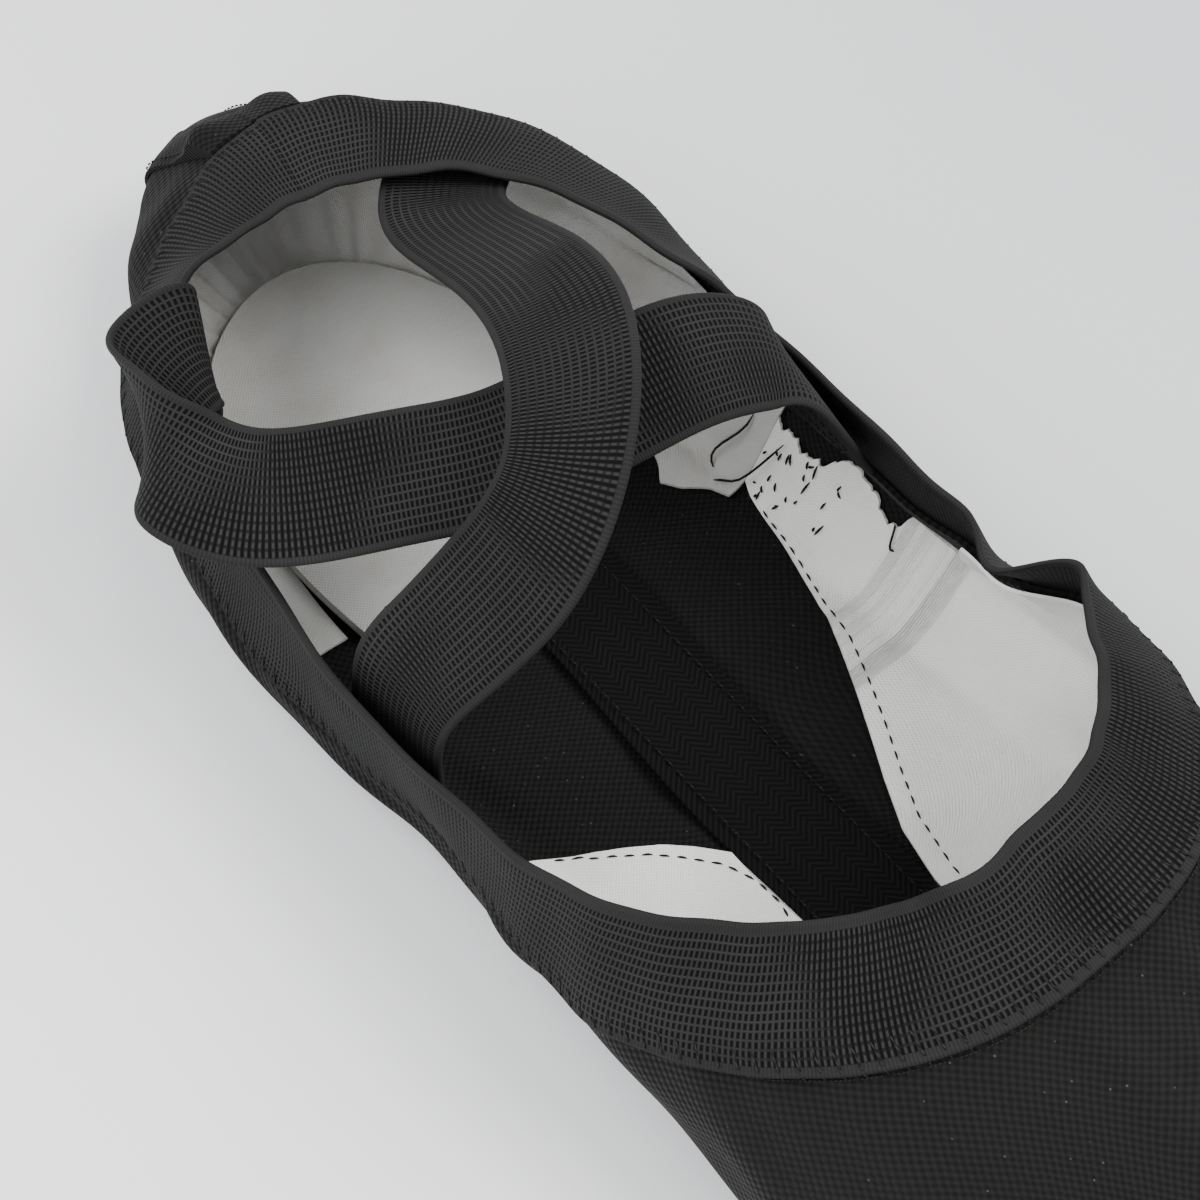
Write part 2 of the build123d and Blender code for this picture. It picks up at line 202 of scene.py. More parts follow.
# Folds and dents that all layers share: station, height, spread in stations, spread in heights,
# and the shift in millimetres at the middle.
FOLDS = [
    (14.45, 6.2, 0.28, 0.9, (0, -4.5, -3)),    # S-fold of the far rim
    (13.95, 6.2, 0.24, 0.9, (1, 2.5, 1.5)),
    (8.75, 6.2, 0.30, 0.7, (-1, 1, -4)),       # dip at the throat
    (9.6, 6.2, 0.5, 0.8, (1.5, 0, 1)),
    (4.5, 4.2, 0.35, 1.2, (0, 1.6, 0)),        # hollows and bulges of the near wall
    (5.1, 3.4, 0.25, 1.0, (0, -1.2, 0)),
    (3.6, 4.4, 0.3, 1.0, (0, -1.5, 0)),
    (2.9, 4.6, 0.3, 1.2, (0, 1.3, 0)),
    (1.4, 3.8, 0.3, 0.9, (1.2, 1.2, 0)),
    (18.8, 3.9, 0.4, 0.8, (0, 0, -1.2)),
    (17.4, 4.1, 0.4, 0.9, (0, -1.6, 0)),
    (16.4, 3.8, 0.4, 0.9, (0, 1.5, 0)),
    (7.2, 3.9, 0.5, 0.7, (0, 0, -2.0)),        # soft dents of the vamp
    (11.0, 4.2, 0.6, 0.5, (0, 0, -1.5)),
    (9.2, 4.0, 0.7, 0.5, (0, 0, 1.2)),
]


def folds(t, v):
    """How far the cloth is shifted by its folds."""
    shift = np.zeros((len(t), 3))
    for station, height, wide, tall, amount in FOLDS:
        apart = np.mod(t - station + COUNT / 2, COUNT) - COUNT / 2
        share = np.exp(-(apart / wide) ** 2 - ((v - height) / tall) ** 2)
        shift += MM * share[:, None] * np.array(amount, float)
    return shift


def gathers(t, v):
    """Pleats under the toe and the heel, where the canvas is drawn in under the pads."""
    low = bump(v, 2.15, 0.55)
    toe = ramp(t, 6.6, 7.6) * (1 - ramp(t, 12.4, 13.4))
    around = np.mod(t + COUNT / 2, COUNT) - COUNT / 2
    heel = ramp(around, -2.6, -1.6) * (1 - ramp(around, 1.6, 2.6))
    waves = 0.5 + 0.5 * np.sin(2 * math.pi * (4.2 * t + 0.12 * np.sin(9 * t)))
    return MM * low * (1.3 * toe + 0.8 * heel) * waves


def waviness(t, v):
    """Small unevenness of soft cloth."""
    turn = np.mod(t, COUNT) * 2 * math.pi / COUNT * 3
    broad = np.sin(5.1 * turn + 2.3 * v) * np.sin(2.7 * v - 1.9 * turn)
    return 0.35 * MM * (broad + 0.5 * np.sin(11 * turn + 3 * v))


def skin(t, v, out):
    """Points at a distance out from the canvas's inner face, away from the foot."""
    step = 0.02
    t, v, out = np.broadcast_arrays(*(np.asarray(x, float) for x in (t, v, out)))
    high = np.minimum(v + step, RIM)
    along = surface(t + step, v) - surface(t - step, v)
    up = surface(t, high) - surface(t, high - 2 * step)
    lift = out + gathers(np.mod(t, COUNT), v) + waviness(t, v)
    return surface(t, v) + lift[:, None] * unit(np.cross(along, up)) + folds(t, v)


def spaced(t_range, v, pitch):
    """Stations that lie a pitch apart along the cloth, at height v."""
    t = np.linspace(*t_range, 1500)
    heights = v(t) if callable(v) else np.full(len(t), float(v))
    points = skin(t, heights, 0)
    length = np.concatenate([[0], np.cumsum(np.linalg.norm(np.diff(points, axis=0), axis=1))])
    return np.interp(np.arange(0, length[-1], pitch), length, t)


# ---------------------------------------------------------------- meshes
def made_object(name, points, faces, weave=None):
    """Mesh object with outward normals and, on each point, its place in the cloth."""
    mesh = bpy.data.meshes.new(name)
    mesh.from_pydata(np.asarray(points).tolist(), [], np.asarray(faces).tolist())
    mesh.update()
    if weave is not None:
        attribute = mesh.attributes.new("weave", "FLOAT_VECTOR", "POINT")
        attribute.data.foreach_set("vector", np.asarray(weave, np.float32).ravel())
    mesh.polygons.foreach_set("use_smooth", np.ones(len(mesh.polygons), bool))
    mesh.set_sharp_from_angle(angle=math.radians(50))
    piece = bpy.data.objects.new(name, mesh)
    bpy.context.scene.collection.objects.link(piece)
    return piece


def loft_faces(count, around, first=0):
    """Quads of a closed loft: each ring runs up one face of the piece and back down the other."""
    index = first + np.arange(count * around).reshape(count, around)
    following = np.roll(index, -1, axis=1)
    sides = np.stack([index[:-1], index[1:], following[1:], following[:-1]], axis=-1).reshape(-1, 4)
    half = around // 2
    start, start_back = index[0, :half], index[0, ::-1][:half]
    end, end_back = index[-1, :half], index[-1, ::-1][:half]
    caps = [np.stack([start[:-1], start[1:], start_back[1:], start_back[:-1]], axis=-1),
            np.stack([end[1:], end[:-1], end_back[:-1], end_back[1:]], axis=-1)]
    return np.concatenate([sides, *caps])


def lofted(name, rings, weave):
    """Closed piece through rings of points, with its place in the cloth for each point."""
    count, around = rings.shape[:2]
    faces = loft_faces(count, around)
    points = rings.reshape(-1, 3)
    a, b, c, d = (points[faces[:, k]] for k in range(4))
    volume = np.sum(np.cross(c - a, d - b) * (a + b + c + d) / 4)
    if volume < 0:
        faces = faces[:, ::-1]
    return made_object(name, points, faces, weave.reshape(-1, 3))


def panel(name, t_range, v_range, inner, outer, columns, rows, seed=0.0):
    """Piece of cloth on the slipper: v_range is (low, high) or a function of t giving them."""
    stations = np.linspace(*t_range, columns)
    rings, weaves = [], []
    for t in stations:
        low, high = v_range(t) if callable(v_range) else v_range
        v = np.linspace(low, high, rows)
        faces = [skin(np.full(rows, t), v, out) for out in (outer, inner)]
        steps = np.linalg.norm(np.diff(faces[0], axis=0), axis=1)
        down = BAND_WIDTH * (RIM - high) + np.cumsum(np.append(0, steps[::-1]))[::-1]
        place = curve(OPENING, [t % COUNT])[0] + down[:, None] * outward(np.array([t]))[0]
        place[:, 2] = seed
        rings.append(np.concatenate([faces[0], faces[1][::-1]]))
        weaves.append(np.concatenate([place, place[::-1]]))
    return lofted(name, np.array(rings), np.array(weaves))


def webbing_section(width, thickness, samples, cord=1.0 * MM):
    """Round the section of a woven band with corded edges: (across, off the middle) pairs."""
    half, radius = width / 2, thickness * 0.55
    across = half * np.sin(np.linspace(-math.pi / 2, math.pi / 2, samples))
    side = np.abs(across)
    end = np.clip((side - half + radius) / radius, 0, 1)
    height = thickness / 2 * np.sqrt(np.maximum(1 - end ** 2, 0))
    height = height * (1 - 0.28 * bump(side, half - 1.25 * cord, 0.3 * cord))
    top = np.stack([across, height], axis=1)
    return np.concatenate([top, np.stack([across, -height], axis=1)[::-1]])


def band_on_skin(name, t_range, v_range, middle_out, section, columns, seed, roll=0.0):
    """Woven band that lies on the slipper, its width between the two heights."""
    width = section[:, 0].max() - section[:, 0].min()
    share = (section[:, 0] - section[:, 0].min()) / width
    rings, weaves = [], []
    stations = np.linspace(*t_range, columns)
    travelled, last = 0.0, None
    for t in stations:
        v = v_range[0] + share * (v_range[1] - v_range[0])
        ring = skin(np.full(len(v), t), v, middle_out + section[:, 1] + roll * share ** 3)
        middle = ring.mean(axis=0)
        travelled += 0 if last is None else np.linalg.norm(middle - last)
        last = middle
        rings.append(ring)
        weaves.append(np.stack([np.full(len(v), travelled), section[:, 0], np.full(len(v), seed)], axis=1))
    return lofted(name, np.array(rings), np.array(weaves))


def band_on_route(name, stations, section, columns, seed, shape=None):
    """Woven band along a free route of (middle, width direction) stations."""
    line = controls([row[0] for row in stations], False)
    side = controls([row[1] for row in stations], False)
    t = np.linspace(0, len(stations) - 1, columns)
    step = 0.01
    middle = curve(line, t)
    along = unit(curve(line, t + step) - curve(line, t - step))
    across = curve(side, t)
    across = unit(across - np.sum(across * along, axis=1, keepdims=True) * along)
    normal = np.cross(across, along)
    off = np.zeros((columns, len(section))) if shape is None else shape(t[:, None], section[None, :, 0])
    rings = (middle[:, None] + section[None, :, :1] * across[:, None]
             + (section[None, :, 1:] + off[:, :, None]) * normal[:, None])
    travelled = np.concatenate([[0], np.cumsum(np.linalg.norm(np.diff(middle, axis=0), axis=1))])
    weaves = np.stack(np.broadcast_arrays(travelled[:, None], section[None, :, 0], seed), axis=-1)
    return lofted(name, rings, weaves)


def tube_rings(line, radius, sides):
    """Rings round a line of points, closing to small ends."""
    line = np.asarray(line, float)
    along = unit(np.gradient(line, axis=0))
    reference = np.eye(3)[np.argmin(np.abs(along[0]))]
    rings = []
    for k, (point, direction) in enumerate(zip(line, along)):
        side = unit(reference - (reference @ direction) * direction)
        reference = side
        other = np.cross(direction, side)
        angle = np.arange(sides) * 2 * math.pi / sides
        size = radius * (0.45 if k in (0, len(line) - 1) else 1)
        rings.append(point + size * (np.cos(angle)[:, None] * side + np.sin(angle)[:, None] * other))
    return np.array(rings)


def stitches(name, lines, radius, sides=6):
    """One piece of many short threads, each along its own line of points."""
    points, faces, weaves, first = [], [], [], 0
    for number, line in enumerate(lines):
        rings = tube_rings(line, radius, sides)
        points.append(rings.reshape(-1, 3))
        faces.append(loft_faces(len(rings), sides, first))
        length = np.linspace(0, 1, len(rings)) * np.linalg.norm(np.diff(line, axis=0), axis=1).sum()
        turn = np.arange(sides) / sides
        weaves.append(np.stack(np.broadcast_arrays(length[:, None], turn[None], number * 0.37), axis=-1))
        first += rings.shape[0] * sides
    return made_object(name, np.concatenate(points), np.concatenate(faces),
                       np.concatenate([w.reshape(-1, 3) for w in weaves]))


# ---------------------------------------------------------------- materials
class Finish:
    """A material's nodes, wired with short calls."""

    def __init__(self, name, roughness, sheen=0.0, sheen_roughness=0.4, specular=0.2):
        self.material = bpy.data.materials.new(name)
        self.material.use_nodes = True
        self.tree = self.material.node_tree
        self.shader = self.tree.nodes["Principled BSDF"]
        self.shader.inputs["Roughness"].default_value = roughness
        self.shader.inputs["Sheen Weight"].default_value = sheen
        self.shader.inputs["Sheen Roughness"].default_value = sheen_roughness
        self.shader.inputs["Specular IOR Level"].default_value = specular
        attribute = self.tree.nodes.new("ShaderNodeAttribute")
        attribute.attribute_name = "weave"
        self.place = attribute.outputs["Vector"]

    def put(self, value, socket):
        if isinstance(value, bpy.types.NodeSocket):
            self.tree.links.new(value, socket)
        else:
            socket.default_value = value

    def math(self, operation, *values):
        node = self.tree.nodes.new("ShaderNodeMath")
        node.operation = operation
        for socket, value in zip(node.inputs, values):
            self.put(value, socket)
        return node.outputs[0]

    def object_place(self):
        return self.tree.nodes.new("ShaderNodeTexCoord").outputs["Object"]

    def noise(self, scale, detail=2.0, place=None):
        node = self.tree.nodes.new("ShaderNodeTexNoise")
        node.inputs["Scale"].default_value = scale
        node.inputs["Detail"].default_value = detail
        self.put(place or self.place, node.inputs["Vector"])
        return node.outputs["Fac"]

    def shaken(self, scale, amount):
        """The place in the cloth, moved a little at random, so that no thread is dead straight."""
        node = self.tree.nodes.new("ShaderNodeTexNoise")
        node.inputs["Scale"].default_value = scale
        node.inputs["Detail"].default_value = 1.0
        self.put(self.place, node.inputs["Vector"])
        scaled = self.tree.nodes.new("ShaderNodeVectorMath")
        scaled.operation = "MULTIPLY_ADD"
        self.put(node.outputs["Color"], scaled.inputs[0])
        scaled.inputs[1].default_value = (amount, amount, 0)
        self.put(self.place, scaled.inputs[2])
        return self.split(scaled.outputs[0])

    def split(self, vector):
        node = self.tree.nodes.new("ShaderNodeSeparateXYZ")
        self.put(vector, node.inputs[0])
        return node.outputs[0], node.outputs[1]

    def wave(self, place, pitch, shift=0.0):
        """Cosine of a place, one turn for each pitch, from 0 to 1."""
        turn = self.math("MULTIPLY_ADD", place, 2 * math.pi / pitch, shift)
        return self.math("MULTIPLY_ADD", self.math("COSINE", turn), 0.5, 0.5)

    def mix(self, share, a, b):
        node = self.tree.nodes.new("ShaderNodeMix")
        node.data_type = "RGBA"
        self.put(share, node.inputs["Factor"])
        colours = [s for s in node.inputs if s.type == "RGBA"]
        for value, socket in zip((a, b), colours):
            self.put((*value, 1) if isinstance(value, tuple) else value, socket)
        return [s for s in node.outputs if s.type == "RGBA"][0]

    def above(self, value, start, end):
        """0 below start, 1 above end."""
        node = self.tree.nodes.new("ShaderNodeMapRange")
        self.put(value, node.inputs["Value"])
        node.inputs["From Min"].default_value = start
        node.inputs["From Max"].default_value = end
        return node.outputs["Result"]

    def specks(self, scale, size):
        """Sparse small spots, such as lint."""
        node = self.tree.nodes.new("ShaderNodeTexVoronoi")
        node.inputs["Scale"].default_value = scale
        self.put(self.place, node.inputs["Vector"])
        return self.above(node.outputs["Distance"], size, size * 0.6)

    def done(self, colour, height, depth):
        self.put(colour, self.shader.inputs["Base Color"])
        node = self.tree.nodes.new("ShaderNodeBump")
        node.inputs["Strength"].default_value = 1.0
        node.inputs["Distance"].default_value = depth
        self.put(height, node.inputs["Height"])
        self.put(node.outputs[0], self.shader.inputs["Normal"])
        return self.material


def canvas_finish():
    """Black cotton canvas: a coarse plain weave with a little fluff and lint."""
    f = Finish("canvas_black", 0.85, 0.03, 0.5, 0.12)
    pitch = 1.45 * MM
    u, v = f.shaken(900, 0.25 * MM)
    checks = f.math("MULTIPLY", f.wave(u, pitch), f.wave(v, pitch))
    others = f.math("MULTIPLY", f.wave(u, pitch, math.pi), f.wave(v, pitch, math.pi))
    threads = f.math("ADD", checks, others)
    fuzz = f.noise(5200, 3)
    height = f.math("MULTIPLY_ADD", fuzz, 0.35, threads)
    fade = f.noise(45, 3)
    base = f.mix(fade, (0.0012, 0.0012, 0.0012), (0.0028, 0.0028, 0.0027))
    lit = f.mix(f.math("MULTIPLY", threads, 0.8), base, (0.0110, 0.0109, 0.0107))
    colour = f.mix(f.math("MULTIPLY", f.specks(420, 0.08), 0.35), lit, (0.12, 0.12, 0.115))
    return f.done(colour, height, 0.28 * MM)


def elastic_finish():
    """Charcoal woven elastic: light crosswise bars over rubber cords, with open slots between."""
    f = Finish("elastic_charcoal", 0.75, 0.0, 0.35, 0.08)
    bar_pitch, cord_pitch = 0.73 * MM, 1.22 * MM
    u, v = f.shaken(500, 0.10 * MM)
    bars = f.above(f.wave(u, bar_pitch), 0.22, 0.72)
    cords = f.above(f.wave(v, cord_pitch), 0.60, 0.95)
    relaxed = f.math("MULTIPLY", bars, f.math("MULTIPLY_ADD", cords, -0.65, 1.0))
    stretched = f.math("MAXIMUM", f.math("MULTIPLY", bars, 0.8), f.math("MULTIPLY", cords, 0.95))
    tension = f.above(f.noise(38, 1), 0.44, 0.56)
    pattern = f.math("ADD", f.math("MULTIPLY", relaxed, f.math("SUBTRACT", 1.0, tension)),
                     f.math("MULTIPLY", stretched, tension))
    side = f.math("ABSOLUTE", v)
    edge = f.above(side, STRAP_WIDTH / 2 - 1.2 * MM, STRAP_WIDTH / 2 - 1.0 * MM)
    ribs = f.wave(u, bar_pitch * 0.6)
    height = f.math("ADD", f.math("MULTIPLY", pattern, f.math("SUBTRACT", 1.0, edge)),
                    f.math("MULTIPLY", f.math("MULTIPLY_ADD", ribs, 0.25, 0.55), edge))
    fade = f.noise(60, 2)
    dark = f.mix(fade, (0.0004, 0.0004, 0.0004), (0.0010, 0.0010, 0.0010))
    light = f.mix(fade, (0.015, 0.0150, 0.0149), (0.028, 0.0280, 0.0278))
    return f.done(f.mix(height, dark, light), height, 0.25 * MM)


def lining_finish(name="lining_white", stain=0.5, tone=(0.86, 0.86, 0.84)):
    """Unbleached white cotton: a fine plain weave, a little stained."""
    f = Finish(name, 0.9, 0.1, 0.5)
    pitch = 0.62 * MM
    u, v = f.shaken(700, 0.2 * MM)
    threads = f.math("ADD", f.math("MULTIPLY", f.wave(u, pitch), f.wave(v, pitch)),
                     f.math("MULTIPLY", f.wave(u, pitch, math.pi), f.wave(v, pitch, math.pi)))
    patches = f.above(f.noise(70, 4), 0.45, 0.8)
    dirty = tuple(c * k for c, k in zip(tone, (0.78, 0.75, 0.70)))
    cloth = f.mix(f.math("MULTIPLY", patches, stain), tone, dirty)
    colour = f.mix(f.math("MULTIPLY_ADD", threads, -0.22, 0.22), cloth, tuple(c * 0.6 for c in tone))
    height = f.math("MULTIPLY_ADD", f.noise(3500, 2), 0.4, threads)
    return f.done(colour, height, 0.10 * MM)


def tape_finish():
    """Black cotton twill tape."""
    f = Finish("tape_black", 0.85, 0.0, 0.5, 0.1)
    u, v = f.shaken(800, 0.15 * MM)
    diagonal = f.math("ADD", u, f.math("PINGPONG", v, 2.2 * MM))
    rib = f.wave(diagonal, 1.1 * MM)
    height = f.math("MULTIPLY_ADD", f.noise(5000, 2), 0.3, rib)
    colour = f.mix(rib, (0.0015, 0.0015, 0.0015), (0.0060, 0.0059, 0.0058))
    return f.done(colour, height, 0.12 * MM)


def suede_finish():
    """Black split suede with a brushed nap and scuffs."""
    f = Finish("suede_black", 0.95, 0.4, 0.6)
    place = f.object_place()
    nap = f.noise(2600, 5, place)
    scuffs = f.above(f.noise(55, 5, place), 0.5, 0.75)
    colour = f.mix(nap, (0.012, 0.011, 0.011), (0.032, 0.030, 0.029))
    worn = f.mix(f.math("MULTIPLY", scuffs, 0.5), colour, (0.075, 0.070, 0.066))
    return f.done(worn, nap, 0.25 * MM)


def foam_finish():
    """Off-white open foam."""
    f = Finish("foam_white", 0.9)
    cells = f.noise(3000, 3, f.object_place())
    return f.done(f.mix(cells, (0.45, 0.44, 0.40), (0.62, 0.60, 0.56)), cells, 0.2 * MM)


def thread_finish(name, dark, light):
    """Twisted sewing thread."""
    f = Finish(name, 0.8, 0.0, 0.4, 0.1)
    u, turn = f.split(f.place)
    ply = f.wave(f.math("MULTIPLY_ADD", turn, 0.6 * MM, u), 0.6 * MM)
    return f.done(f.mix(ply, dark, light), ply, 0.05 * MM)


def finished(piece, finish, nodes, body=None, bend=None, strap=None):
    """Gives a piece its material and slot and hides the nodes it stands for; a piece with a body is
    attached to that body's empty, the others have their place baked into the mesh.
    """
    piece.data.materials.append(finish)
    if nodes:
        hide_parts(*nodes)
    if bend:
        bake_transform(piece)
    elif strap:
        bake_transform(piece)
    else:
        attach(piece, body)
    return piece


CANVAS_BLACK = canvas_finish()
ELASTIC = elastic_finish()
LINING_WHITE = lining_finish()
# Painted shade: the heel sock and the heel lining are the same white cotton as the linings, but given a
# darker tone (0.50 against 0.86) that paints in the shade inside the heel.
SOCK_WHITE_PAINTED_SHADE = lining_finish("sock_white_painted_shade", 0.8, (0.50, 0.50, 0.485))
TAPE_BLACK = tape_finish()
SUEDE_BLACK = suede_finish()
FOAM_WHITE = foam_finish()
THREAD_BLACK = thread_finish("thread_black", (0.004, 0.004, 0.004), (0.022, 0.021, 0.020))
THREAD_GREY = thread_finish("thread_grey", (0.04, 0.04, 0.042), (0.14, 0.14, 0.145))

# ---------------------------------------------------------------- canvas upper
HEEL_GATHER = ((0, 1.6, 2.6, 5), (0.5, 0.5, 0.02, 0.02))
TOE_GATHER = ((5, 6.6, 7.2, 12.8, 13.4, 15), (0.02, 0.02, 0.5, 0.5, 0.02, 0.02))
BUTT = 0.001                 # half the air at a seam, in stations


def canvas_pieces():
    """The two quarters and the vamp, which butt at the back seam and the side seams."""
    right = panel("quarter_right", (BUTT, RIGHT_SEAM - BUTT),
                  lambda t: (np.interp(t, *HEEL_GATHER), CANVAS_TOP), 0, CANVAS, 190, 110)
    left = panel("quarter_left", (LEFT_SEAM + BUTT, COUNT - BUTT),
                 lambda t: (np.interp(COUNT - t, *HEEL_GATHER), CANVAS_TOP), 0, CANVAS, 190, 110, 0.3)
    front = panel("vamp", (RIGHT_SEAM + BUTT, LEFT_SEAM - BUTT),
                  lambda t: (np.interp(t, *TOE_GATHER), CANVAS_TOP), 0, CANVAS, 380, 130, 0.6)
    for piece, node in ((right, "quarter_canvas_right"), (left, "quarter_canvas_left"),
                        (front, "vamp_canvas")):
        finished(piece, CANVAS_BLACK, [node], bend=True)


BAND_MIDDLE = CANVAS + GAP + BAND / 2


def topline_band():
    """Elastic round the opening, on the outside of the canvas."""
    section = webbing_section(BAND_WIDTH, BAND, 34)
    piece = band_on_skin("topline_band", (0.0, COUNT), (BAND_EDGE, RIM), BAND_MIDDLE, section,
                         700, 0.1)
    finished(piece, ELASTIC, ["topline_elastic"], bend=True)


def topline_stitching():
    """Cover stitch over the band's lower edge: tall loops that lean, tied along the bottom."""
    face = BAND_MIDDLE + BAND / 2
    t = spaced((0.05, COUNT - 0.05), BAND_EDGE, 1.3 * MM)
    rng = np.random.default_rng(3)
    lines = []
    for k in range(0, len(t) - 2, 2):
        high = 5.2 + rng.uniform(-0.015, 0.02)
        lean = t[k + 1] - t[k]
        at = t[k] + lean * np.array([0.0, 0.15, 0.75, 0.9, 1.0])
        v = np.array([high, high - 0.01, 5.05, 5.0, 4.975])
        out = np.array([face - 0.15 * MM, face + 0.03 * MM, face + 0.03 * MM, face - 0.35 * MM, CANVAS])
        lines.append(skin(at, v, out))
    for k in range(0, len(t) - 3, 3):
        at = np.linspace(t[k], t[k + 3] - 0.25 * (t[k + 3] - t[k + 2]), 5)
        lines.append(skin(at, 4.978, CANVAS + 0.10 * MM * np.sin(np.linspace(0, math.pi, 5))))
    piece = stitches("topline_stitches", lines, 0.13 * MM)
    finished(piece, THREAD_BLACK, ["topline_thread"], bend=True)


STAY_HALF = 0.40             # half its width, in stations
STAY_HEIGHTS = (2.3, 4.95)
STAY_SEAM = 0.34


def heel_stay():
    """Tape over the back seam, folded under in two bumps at its top corners."""
    columns, rows = 60, 90
    stations = np.linspace(-STAY_HALF, STAY_HALF, columns)
    v = np.linspace(*STAY_HEIGHTS, rows)
    out = CANVAS + GAP
    rings, weaves = [], []
    for t in stations:
        corner = (bump(t, 0.30, 0.18) + 0.5 * bump(t, -0.26, 0.16) + 0.3) * bump(v, 4.6, 0.3)
        crease = 0.5 * np.sin(9 * v + 6 * t) * bump(v, 3.7, 0.9)
        face = skin(np.full(rows, t), v, out + TAPE + MM * (3.0 * corner + 0.35 * crease))
        back = skin(np.full(rows, t), v, out)
        place = np.stack([BAND_WIDTH * v, np.full(rows, 22 * MM * t), np.full(rows, 0.7)], axis=1)
        rings.append(np.concatenate([face, back[::-1]]))
        weaves.append(np.concatenate([place, place[::-1]]))
    piece = lofted("heel_stay", np.array(rings), np.array(weaves))
    finished(piece, CANVAS_BLACK, ["heel_stay_tape"], body="heel")
    lines = []
    for side in (-STAY_SEAM, STAY_SEAM):
        for low in np.arange(STAY_HEIGHTS[0] + 0.06, STAY_HEIGHTS[1] - 0.10, 0.1):
            at = np.linspace(low, low + 0.065, 4)
            lift = out + TAPE + MM * np.array([0.0, 0.2, 0.2, 0.0])
            lines.append(skin(np.full(4, side), at, lift))
    thread = stitches("heel_stay_stitches", lines, 0.15 * MM)
    finished(thread, THREAD_BLACK, ["heel_stay_thread"], body="heel")


ARCH_TAPE = (-43 * MM, 56 * MM)
TAPE_LIFT = 0.8 * MM         # clears the lining's edge


def arch_tape():
    """Twill tape over the seam inside, under the foot, with a row of stitches near each edge."""
    low = SOLE_TOP + GAP + TAPE_LIFT
    route = []
    for k, x in enumerate(np.linspace(*ARCH_TAPE, 12)):
        sway = 0.6 * MM * math.sin(0.9 * k)
        ripple = 0.3 * MM * abs(math.sin(2.1 * k))
        route.append(((x, sway, low + TAPE / 2 + ripple), (0, 1, 0.04)))
    section = webbing_section(TAPE_WIDTH, TAPE, 26)

    def lift(t, across):
        return 0.5 * MM * np.exp(-((across - TAPE_WIDTH * 0.42) / (1.5 * MM)) ** 2) + 0 * t

    piece = band_on_route("arch_tape", route, section, 200, 0.9, lift)
    finished(piece, TAPE_BLACK, ["arch_seam_tape"], bend=True)
    dash = MM * np.array([(0, 0, 0.25), (0.5, 0, 0.4), (1.3, 0, 0.4), (1.7, 0, 0.25)])
    lines = []
    for side in (-1, 1):
        for x in np.arange(ARCH_TAPE[0] + 2 * MM, ARCH_TAPE[1] - 3 * MM, 2.4 * MM):
            lines.append(np.array([x, side * (TAPE_WIDTH / 2 - 2 * MM), low + TAPE]) + dash)
    thread = stitches("arch_tape_stitches", lines, 0.15 * MM)
    finished(thread, THREAD_BLACK, ["arch_tape_thread"], bend=True)


# ---------------------------------------------------------------- linings and insoles
# Lower edges of the two linings of the vamp and the torn upper edge of the far one: stations and
# the heights there.
RIGHT_LINING = ((4.75, 4.84, 4.92, 5, 5.1, 5.2, 5.35, 5.5, 5.65, 5.8, 6.1, 6.7, 10),
                (2.4, 1.5, 0.98, 0.78, 0.6, 0.48, 0.33, 0.26, 0.25, 0.3, 0.6, 2.1, 2.1))
LEFT_LINING = ((10, 13.4, 13.8, 14.03, 14.3, 14.53, 14.8, 15, 15.2, 15.35, 15.57, 15.87, 16.1),
               (2.1, 2.1, 0.3, 0.32, 0.385, 0.505, 0.66, 0.79, 0.93, 1.05, 1.385, 1.79, 2.12))
TORN_EDGE = ((14.9, 15.02, 15.14, 15.22, 15.3, 15.42, 15.6, 15.7, 15.78, 16, 16.1),
             (5.35, 3.5, 2.98, 3.6, 2.66, 2.74, 2.98, 2.9, 2.64, 2.7, 2.75))
HEEL_LINING = (16.1, COUNT + 3.5)
HEEL_LINING_EDGE = ((16.1, 16.2, 16.3, 16.4, 16.7), (1.6, 1.4, 1.0, 0.9, 1.25))


def ragged(t, depth, seed):
    """Unevenness of a torn raw edge."""
    return depth * (np.sin(37 * t + seed) + 0.6 * np.sin(91 * t + 2 * seed) + 0.4 * np.sin(173 * t))


def lining_pieces():
    """White cotton inside the vamp, in two halves, and round the heel."""
    inner, outer = -LINING_GAP - LINING, -LINING_GAP
    right = panel("vamp_lining_near", (RIGHT_LINING[0][0], TOE - BUTT),
                  lambda t: (np.interp(t, *RIGHT_LINING), LINING_TOP), inner, outer, 200, 90, 0.2)
    left = panel("vamp_lining_far", (TOE + BUTT, HEEL_LINING[0] - 0.004),
                 lambda t: (np.interp(t, *LEFT_LINING), np.interp(t, *TORN_EDGE)
                            + ragged(t, 0.03, 1.0) * ramp(t, 14.9, 15.1)), inner, outer, 420, 90, 0.5)
    heel = panel("heel_lining_cloth", HEEL_LINING,
                 lambda t: (np.interp(t, *HEEL_LINING_EDGE), LINING_TOP), inner, outer, 300, 60, 0.8)
    finished(right, LINING_WHITE, ["vamp_lining_right"], bend=True)
    finished(left, LINING_WHITE, ["vamp_lining_left"], bend=True)
    # The heel lining takes the sock's darker white, which is painted shade.
    finished(heel, SOCK_WHITE_PAINTED_SHADE, ["heel_lining"], body="heel")


def edge_stitches(name, edge, t_range, node):
    """Dashes of black thread along a lining's rear edge."""
    def height(t):
        return np.interp(t, *edge) + 0.1
    t = spaced(t_range, height, 2.5 * MM)
    lines = []
    for a, b in zip(t[:-1], t[1:]):
        at = np.linspace(a, a + 0.6 * (b - a), 4)
        lines.append(skin(at, height(at), -LINING_GAP - LINING - MM * np.array([0.0, 0.15, 0.15, 0.0])))
    piece = stitches(name, lines, 0.16 * MM)
    finished(piece, THREAD_BLACK, [node], bend=True)


